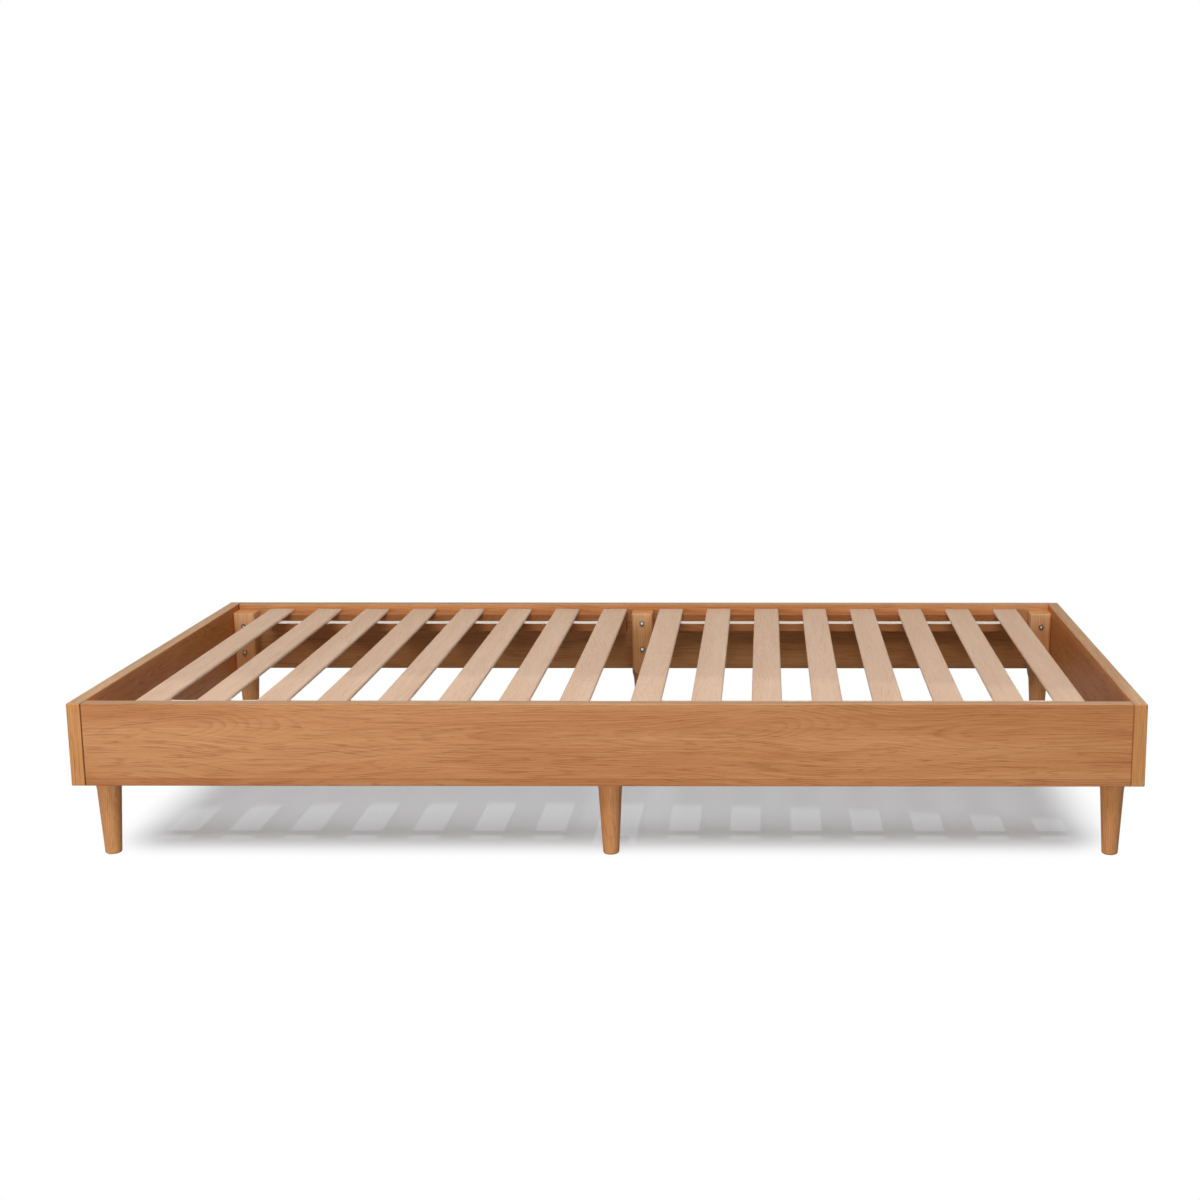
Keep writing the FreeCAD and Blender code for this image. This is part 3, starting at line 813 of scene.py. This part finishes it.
# Slats: the tint is painted light on their sides.
SLAT_WOOD = WoodFinish("Slat wood", Layout.SLAT, paint(219, 186, 159), paint(209, 171, 141),
                       (0.76, 0.66, 0.58), pith=0.12, cut=0.07, ring=0.0032, lines=0.3, pores=0.1,
                       tint=(1.32, 1.36, 1.40))
# Legs: the tint is painted light on the upper part of their sides.
LEG_WOOD = WoodFinish("Leg wood", Layout.LEG, paint(216, 154, 100), paint(200, 131, 77),
                      (0.62, 0.50, 0.42), pith=0.06, swing=0.01, ring=0.0036, streaks=0.7,
                      tint=(1.42, 1.72, 2.15))
BOLT_STEEL = MetalFinish("Bright zinc bolts", (0.78, 0.78, 0.76), (0.60, 0.60, 0.58), 0.18)
# Rail bolts: a bright zinc that is partly a painted highlight in the crown, with a painted dark reflection
# round it.
RAIL_BOLT_STEEL = MetalFinish("Rubbed zinc bolts", (0.95, 0.92, 0.86), (0.80, 0.77, 0.70), 0.24, 0.0024)
SCREW_STEEL = MetalFinish("Yellow zinc screws", (0.72, 0.62, 0.36), (0.55, 0.46, 0.28), 0.28)
STAPLE_STEEL = MetalFinish("Staple wire", (0.70, 0.70, 0.69), (0.52, 0.52, 0.51), 0.30)
INSERT_BRASS = MetalFinish("Insert brass", (0.76, 0.60, 0.28), (0.56, 0.42, 0.20), 0.32)
STRAP_WEAVE = StrapFinish("Strap weave", paint(250, 240, 228), paint(206, 190, 172))


Finish = WoodFinish | MetalFinish | StrapFinish
Paints = dict[Finish, Material]


def build_paints(sizes: BedSizes) -> Paints:
    """Builds the shader groups once, and every material from them.

    Args:
        sizes: The bed's sizes.

    Returns:
        The materials by finish.
    """
    wood = wood_figure_group()
    metal = worn_metal_group()
    paints = {finish: finish.material(wood, sizes)
              for finish in (BOARD_VENEER, PANEL_VENEER, LEDGER_WOOD, SLAT_WOOD, LEG_WOOD)}
    for finish in (BOLT_STEEL, RAIL_BOLT_STEEL, SCREW_STEEL, STAPLE_STEEL, INSERT_BRASS):
        paints[finish] = finish.material(metal, sizes)
    paints[STRAP_WEAVE] = STRAP_WEAVE.material(flat_weave_group())
    return paints


# --- sub-assemblies


@dataclass
class PackedPieces:
    """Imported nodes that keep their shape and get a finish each."""

    nodes: dict[str, Object]
    paints: Paints
    finishes: ClassVar[dict[str, Finish]] = {}

    def dress_all(self) -> None:
        """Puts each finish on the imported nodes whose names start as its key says."""
        for start, finish in self.finishes.items():
            worn = [node for name, node in self.nodes.items() if name.startswith(start)]
            for node in worn:
                for slot in node.material_slots:
                    slot.material = self.paints[finish]
            LOG.info("dressed %d nodes %s in %s", len(worn), start, finish.name)


class Boards(PackedPieces):
    """The two side rails and the two end panels, with plain dowels in their corners."""

    finishes = {"side_rail": BOARD_VENEER, "end_panel": PANEL_VENEER, "corner_dowels": SLAT_WOOD}


class Legs(PackedPieces):
    """The six legs and the bolts and inserts that hold them to the boards."""

    finishes = {"leg_": LEG_WOOD, "rail_bolts": RAIL_BOLT_STEEL, "panel_bolts": BOLT_STEEL,
                "rail_inserts": INSERT_BRASS, "panel_inserts": INSERT_BRASS}


class Ledgers(PackedPieces):
    """The strips that carry the slat ends, and their screws."""

    finishes = {"ledger_front": LEDGER_WOOD, "ledger_back": LEDGER_WOOD, "ledger_screws": SCREW_STEEL}


class Slats(PackedPieces):
    """The sixteen slats of the two packs, each with its own cut of the same wood."""

    finishes = {"slat_": SLAT_WOOD}


class NodesModifier:
    """A Geometry Nodes tree with named inputs, run once for each piece to make a plain mesh."""

    def __init__(self, name: str, takes: dict[str, float | int | Sequence[float]]) -> None:
        """Starts the tree.

        Args:
            name: The tree's name.
            takes: Each input's name with its first value.
        """
        self.tree = bpy.data.node_groups.new(name, "GeometryNodeTree")
        self.bench = Bench(self.tree)
        kinds = {float: "Float", int: "Int"}
        for label, value in takes.items():
            kind = kinds.get(type(value), "Vector")
            socket = self.tree.interface.new_socket(label, in_out="INPUT", socket_type=f"NodeSocket{kind}")
            socket.default_value = value
        self.tree.interface.new_socket("Material", in_out="INPUT", socket_type="NodeSocketMaterial")
        self.tree.interface.new_socket("Geometry", in_out="OUTPUT", socket_type="NodeSocketGeometry")
        inputs = self.tree.nodes.new("NodeGroupInput")
        self.given = {label: inputs.outputs[label] for label in (*takes, "Material")}
        self.identifiers = {item.name: item.identifier for item in self.tree.interface.items_tree
                            if item.in_out == "INPUT"}

    def close(self, geometry: Socket) -> None:
        """Ends the tree: the shape gets smooth shading, real instances and the material."""
        smooth = self.bench.take("GeometryNodeSetShadeSmooth", geometry, None, True)
        real = self.bench.take("GeometryNodeRealizeInstances", smooth)
        done = self.bench.take("GeometryNodeSetMaterial", real, None, self.given["Material"])
        self.bench.feed(self.tree.nodes.new("NodeGroupOutput").inputs[0], done)

    def make(self, name: str, material: Material, **values: float | int | Sequence[float]) -> Object:
        """Runs the tree with its own values.

        Args:
            name: The new piece's name.
            material: The piece's material.
            values: Inputs by name.

        Returns:
            A plain mesh object.
        """
        carrier = bpy.data.objects.new(name + "_carrier", bpy.data.meshes.new(name))
        bpy.context.scene.collection.objects.link(carrier)
        modifier = carrier.modifiers.new("Nodes", "NODES")
        modifier.node_group = self.tree
        modifier[self.identifiers["Material"]] = material
        for label, value in values.items():
            modifier[self.identifiers[label]] = value
        shown = carrier.evaluated_get(bpy.context.evaluated_depsgraph_get())
        mesh = bpy.data.meshes.new_from_object(shown)
        mesh.name = name
        bpy.data.objects.remove(carrier)
        piece = bpy.data.objects.new(name, mesh)
        bpy.context.scene.collection.objects.link(piece)
        LOG.info("made %s with %d faces", name, len(mesh.polygons))
        return piece

    def section(self, width: Socket, height: Socket, radius: float, steps: int) -> Socket:
        """Returns a rectangle with rounded corners of so many steps, to sweep along a line."""
        corner = self.bench.take("GeometryNodeCurvePrimitiveQuadrilateral", width, height)
        rounded = self.bench.node("GeometryNodeFilletCurve", corner, mode="POLY")
        rounded.inputs["Radius"].default_value = radius
        rounded.inputs["Count"].default_value = steps
        return rounded.outputs[0]

    def sweep(self, line: Socket, outline: Socket) -> Socket:
        """Returns the solid that an outline sweeps along a line, with its ends capped."""
        body = self.bench.node("GeometryNodeCurveToMesh", line, outline)
        body.inputs["Fill Caps"].default_value = True
        return body.outputs[0]


@dataclass
class Webbing:
    """The straps under the two slat packs: flat under each slat, and hanging a little between two."""

    paints: Paints
    sizes: BedSizes
    width: float = 0.026
    thickness: float = STRAP_THICKNESS
    sag: float = 0.0004
    sway: float = 0.0012
    sway_cells: Triple = (23.0, 5.0, 1.0)
    sway_shift: float = 4.0
    points_per_slat: int = 28
    rounding: float = 0.45
    corner_steps: int = 3
    tree: NodesModifier = field(init=False)

    def __post_init__(self) -> None:
        """Builds the strap's tree, with a map in metres along the strap and round it."""
        takes = {"Start": 0.0, "Length": 1.0, "First": 0.0, "Middle": 0.0, "Pitch": self.sizes.slat_pitch,
                 "Flat": self.sizes.slat_half_width, "Sag": self.sag,
                 "Level": self.sizes.slat_bottom - self.thickness / 2, "Width": self.width,
                 "Thickness": self.thickness, "Count": SLATS_PER_PACK * self.points_per_slat}
        self.tree = NodesModifier("Strap", takes)
        bench, given = self.tree.bench, self.tree.given
        level = bench.take("GeometryNodeSetCurveNormal", self.route(), mode="Z_UP")
        outline = self.tree.section(given["Width"], given["Thickness"], self.thickness * self.rounding,
                                    self.corner_steps)
        strap = self.tree.sweep(self.measured(level, "along"), self.measured(outline, "across"))
        along, across = (bench.node("GeometryNodeInputNamedAttribute", name, data_type="FLOAT").outputs[0]
                         for name in ("along", "across"))
        self.tree.close(bench.take("GeometryNodeStoreNamedAttribute", strap, None, "strap",
                                   bench.join(along, across, 0.0), data_type="FLOAT2", domain="CORNER"))

    def route(self) -> Socket:
        """Returns the strap's middle line: level under the slats, in a shallow arc between two."""
        bench, given = self.tree.bench, self.tree.given
        step = bench.over(given["Length"], bench.minus(given["Count"], 1.0))
        run = bench.take("GeometryNodeMeshLine", given["Count"],
                         bench.join(given["Start"], given["Middle"], 0.0), bench.join(step, 0.0, 0.0),
                         mode="OFFSET")
        place = bench.take("GeometryNodeInputPosition")
        x, y, _ = bench.split(place)
        cell = bench.over(bench.minus(x, given["First"]), given["Pitch"])
        off_slat = bench.times(bench.gap(cell, bench.math("ROUND", cell)), given["Pitch"])
        past = bench.minus(off_slat, given["Flat"])
        reach = bench.minus(bench.times(given["Pitch"], 0.5), given["Flat"])
        share = bench.math("MAXIMUM", bench.over(past, reach), 0.0)
        arc = bench.times(share, bench.minus(2.0, share))
        drift = bench.minus(bench.noise(place, self.sway_cells, 1.0, self.sway_shift), 0.5)
        height = bench.scaled(arc, bench.times(given["Sag"], -1.0), given["Level"])
        sideways = bench.scaled(bench.times(drift, arc), self.sway, y)
        bent = bench.take("GeometryNodeSetPosition", run, None, bench.join(x, sideways, height))
        return bench.take("GeometryNodeMeshToCurve", bent)

    def measured(self, curve: Socket, name: str) -> Socket:
        """Returns a curve with the distance along it stored on its points under a name."""
        bench = self.tree.bench
        length = bench.tree.nodes.new("GeometryNodeSplineParameter").outputs["Length"]
        return bench.take("GeometryNodeStoreNamedAttribute", curve, None, name, length, data_type="FLOAT",
                          domain="POINT")

    def build(self) -> None:
        """Makes one strap for each packed webbing node and puts it in that node's place."""
        for end in End:
            for side in Side:
                ending = f"{end.name.lower()}_{side.name.lower()}"
                node = f"webbing_{ending}"
                low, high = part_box(node)
                strap = self.tree.make(f"strap_{ending}", self.paints[STRAP_WEAVE], Start=low.x,
                                       Length=high.x - low.x, First=end.value * self.sizes.first_slat,
                                       Middle=middle(node, 1))
                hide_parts(node)
                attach(strap, f"slat_pack_{end.name.lower()}")


@dataclass
class Staples:
    """The staples that hold the straps to the slats."""

    paints: Paints
    sizes: BedSizes
    crown: float = 0.011
    leg: float = 0.0062
    wire_width: float = 0.0012
    wire_thickness: float = 0.0007
    bend: float = 0.0009
    bend_steps: int = 4
    rounding: float = 0.25
    edge_steps: int = 2
    tree: NodesModifier = field(init=False)

    def __post_init__(self) -> None:
        """Builds the tree: one bent wire, set under every slat of a pack."""
        takes = {"First": (0.0, 0.0, 0.0), "Pitch": self.sizes.slat_pitch, "Count": SLATS_PER_PACK,
                 "Crown": self.crown, "Leg": self.leg, "Bend": self.bend,
                 "Wire Width": self.wire_width, "Wire Thickness": self.wire_thickness}
        self.tree = NodesModifier("Staples", takes)
        bench, given = self.tree.bench, self.tree.given
        outline = self.tree.section(given["Wire Thickness"], given["Wire Width"],
                                    self.wire_thickness * self.rounding, self.edge_steps)
        body = self.tree.sweep(self.bent_wire(), outline)
        places = bench.take("GeometryNodeMeshLine", given["Count"], given["First"],
                            bench.join(given["Pitch"], 0.0, 0.0), mode="OFFSET")
        self.tree.close(bench.take("GeometryNodeInstanceOnPoints", places, None, body))

    def bent_wire(self) -> Socket:
        """Returns a curve of four points, bent into a crown and two upright legs."""
        bench, given = self.tree.bench, self.tree.given
        corners = bench.take("GeometryNodeMeshLine", 4, mode="OFFSET")
        number = bench.minus(bench.take("GeometryNodeInputIndex"), 1.5)
        half = bench.times(bench.minus(given["Crown"], given["Wire Thickness"]), 0.5)
        across = bench.times(bench.math("SIGN", number), half)
        raised = bench.math("GREATER_THAN", bench.math("ABSOLUTE", number), 1.0)
        bent = bench.take("GeometryNodeSetPosition", corners, None,
                          bench.join(across, 0.0, bench.times(raised, given["Leg"])))
        line = bench.take("GeometryNodeMeshToCurve", bent)
        wire = bench.node("GeometryNodeFilletCurve", line, mode="POLY")
        bench.feed(wire.inputs["Radius"], given["Bend"])
        wire.inputs["Count"].default_value = self.bend_steps
        return wire.outputs[0]

    def build(self) -> None:
        """Makes one set of staples for each packed staple node and puts it in that node's place."""
        level = self.sizes.slat_bottom - STRAP_THICKNESS - self.wire_thickness / 2
        for end in End:
            for side in Side:
                name = f"staples_{end.name.lower()}_{side.name.lower()}"
                first = (end.value * self.sizes.first_slat, middle(name, 1), level)
                piece = self.tree.make(f"wire_{name}", self.paints[STAPLE_STEEL], First=first,
                                       Pitch=end.value * self.sizes.slat_pitch)
                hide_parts(name)
                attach(piece, f"slat_pack_{end.name.lower()}")


# --- studio


def hang(data: Light, place: Sequence[float], aim: Sequence[float]) -> Object:
    """Hangs a lamp at a place, pointed at its aim, and returns it."""
    lamp = bpy.data.objects.new(data.name, data)
    lamp.location = place
    lamp.rotation_euler = (Vector(aim) - Vector(place)).to_track_quat("-Z", "Y").to_euler()
    bpy.context.scene.collection.objects.link(lamp)
    return lamp


def seen_ray(bench: Bench) -> Socket:
    """Returns 1 for rays from the camera and for those that a mirror or glass sends on, else 0."""
    rays = bench.tree.nodes.new("ShaderNodeLightPath").outputs
    sent_on = bench.math("MAXIMUM", rays["Is Glossy Ray"], rays["Is Transmission Ray"])
    return bench.math("MAXIMUM", rays["Is Camera Ray"], sent_on)


@dataclass(frozen=True)
class Softbox:
    """A rectangular lamp: where it hangs, what it points at, its sides and its power."""

    name: str
    place: Triple
    aim: Triple
    sides: tuple[float, float]
    power: float

    def light(self) -> None:
        """Puts the lamp in the scene."""
        data = bpy.data.lights.new(self.name, "AREA")
        data.shape = "RECTANGLE"
        data.size, data.size_y = self.sides
        data.energy = self.power
        hang(data, self.place, self.aim)


@dataclass(frozen=True)
class Spot:
    """A small lamp with a wide, shallow beam: its beam's half length and half depth where it lands."""

    name: str
    place: Triple
    aim: Triple
    beam: tuple[float, float]
    power: float
    edge: float = 0.06
    radius: float = 0.02

    def light(self) -> None:
        """Puts the lamp in the scene."""
        data = bpy.data.lights.new(self.name, "SPOT")
        data.energy = self.power
        data.spot_size = 2 * math.atan(self.beam[0] / (Vector(self.aim) - Vector(self.place)).length)
        data.spot_blend = self.edge
        data.shadow_soft_size = self.radius
        lamp = hang(data, self.place, self.aim)
        lamp.scale = (1.0, self.beam[1] / self.beam[0], 1.0)


@dataclass
class Studio:
    """The camera, the lamps, the white world and the floor, whose shade fades to white round the bed."""

    camera_place: Triple = (0.2837, -3.5017, 1.0508)
    camera_tilt: float = 79.359
    camera_turn: float = 0.184
    lens: float = 51.94
    film_width: float = 36.0
    shift: float = -0.1328
    lamps: tuple[Softbox | Spot, ...] = (
        Softbox("Overhead", (-0.2, -2.0, 4.4), (0.0, -0.1, 0.2), (3.48, 2.4), 152.0),
        Softbox("Front fill", (-1.3, -4.6, 0.45), (0.0, -0.49, 0.2), (2.0, 0.45), 81.0),
        Spot("Strip", (0.0, -1.6, 4.8), (0.07, -0.40, 0.0), (1.3, 0.25), 100.0),
    )
    sky: float = 0.24
    floor_half: float = 14.0
    floor_lit: Colour = (0.32, 0.32, 0.32)
    floor_seen: Colour = (0.89, 0.935, 0.975)
    floor_cells: Triple = (40.0, 40.0, 40.0)
    floor_grain: float = 0.02
    haze: float = 0.11
    shade_half: tuple[float, float] = (0.83, 0.30)
    shade_fade: tuple[float, float] = (0.14, 0.19)

    def build(self) -> None:
        """Sets up the whole studio."""
        self.set_camera()
        for lamp in self.lamps:
            lamp.light()
        self.set_world()
        self.lay_floor()
        bpy.context.scene.view_settings.view_transform = "Standard"
        LOG.info("set up the studio with %d lamps", len(self.lamps))

    def set_camera(self) -> None:
        """Stands the camera where the photograph was taken."""
        data = bpy.data.cameras.new("Camera")
        data.lens = self.lens
        data.sensor_width = self.film_width
        data.shift_x = self.shift
        camera = bpy.data.objects.new("Camera", data)
        camera.location = self.camera_place
        camera.rotation_euler = (math.radians(self.camera_tilt), 0.0, math.radians(self.camera_turn))
        bpy.context.scene.collection.objects.link(camera)
        bpy.context.scene.camera = camera

    def set_world(self) -> None:
        """Fills the world with soft light that the camera and reflections see as white."""
        world = bpy.data.worlds.new("Studio")
        world.use_nodes = True
        bpy.context.scene.world = world
        bench = Bench(world.node_tree)
        background = world.node_tree.nodes["Background"]
        bench.feed(background.inputs["Color"], WHITE)
        bench.feed(background.inputs["Strength"], bench.mix(seen_ray(bench), self.sky, 1.0, "FLOAT"))

    def lay_floor(self) -> Object:
        """Returns a pale floor that keeps the bed's shadow and fades to white away from it."""
        corner_ways = ((-1, -1), (1, -1), (1, 1), (-1, 1))
        mesh = bpy.data.meshes.new("Floor")
        mesh.from_pydata([(x * self.floor_half, y * self.floor_half, 0) for x, y in corner_ways],
                         [], [(0, 1, 2, 3)])
        mesh.materials.append(self.floor_material())
        floor = bpy.data.objects.new("Floor", mesh)
        bpy.context.scene.collection.objects.link(floor)
        return floor

    def floor_material(self) -> Material:
        """Returns the floor's material, which only fades where a ray shows the floor."""
        bench, shader, made = start_material("Studio floor")
        bench.tree.nodes.remove(shader)
        point = Point.read(bench)
        past = (bench.math("MAXIMUM", bench.minus(bench.math("ABSOLUTE", part), half), 0.0)
                for part, half in zip((point.x, point.y), self.shade_half))
        shares = [bench.over(part, fade) for part, fade in zip(past, self.shade_fade)]
        away = bench.span(bench.vector("LENGTH", bench.join(*shares, 0.0)), 0.0, 1.0)
        away = bench.scaled(away, 1.0 - self.haze, self.haze)
        seen = seen_ray(bench)
        tone = bench.mix(seen, self.floor_lit, self.floor_seen)
        grain = bench.scaled(bench.noise(point.spot, self.floor_cells, 3.0), self.floor_grain,
                             1.0 - self.floor_grain)
        matt = bench.take("ShaderNodeBsdfDiffuse", bench.vector("SCALE", tone, grain))
        white = bench.take("ShaderNodeEmission", WHITE, 1.0)
        both = bench.take("ShaderNodeMixShader", bench.times(away, seen), matt, white)
        bench.feed(bench.tree.nodes["Material Output"].inputs["Surface"], both)
        return made


def corners(pair: tuple[Vector, Vector]) -> list[list[float]]:
    """Returns a box's two corners as plain lists."""
    return [list(pair[0]), list(pair[1])]


def main() -> None:
    """Builds the looks of the bed, in order."""
    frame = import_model()
    logging.basicConfig(level=logging.INFO, format="%(name)s: %(message)s")
    sizes = BedSizes.read()
    paints = build_paints(sizes)
    for pieces in (Boards, Legs, Ledgers, Slats):
        pieces(frame["nodes"], paints).dress_all()
    Webbing(paints, sizes).build()
    Staples(paints, sizes).build()
    Studio().build()


if __name__ == "__main__":
    main()
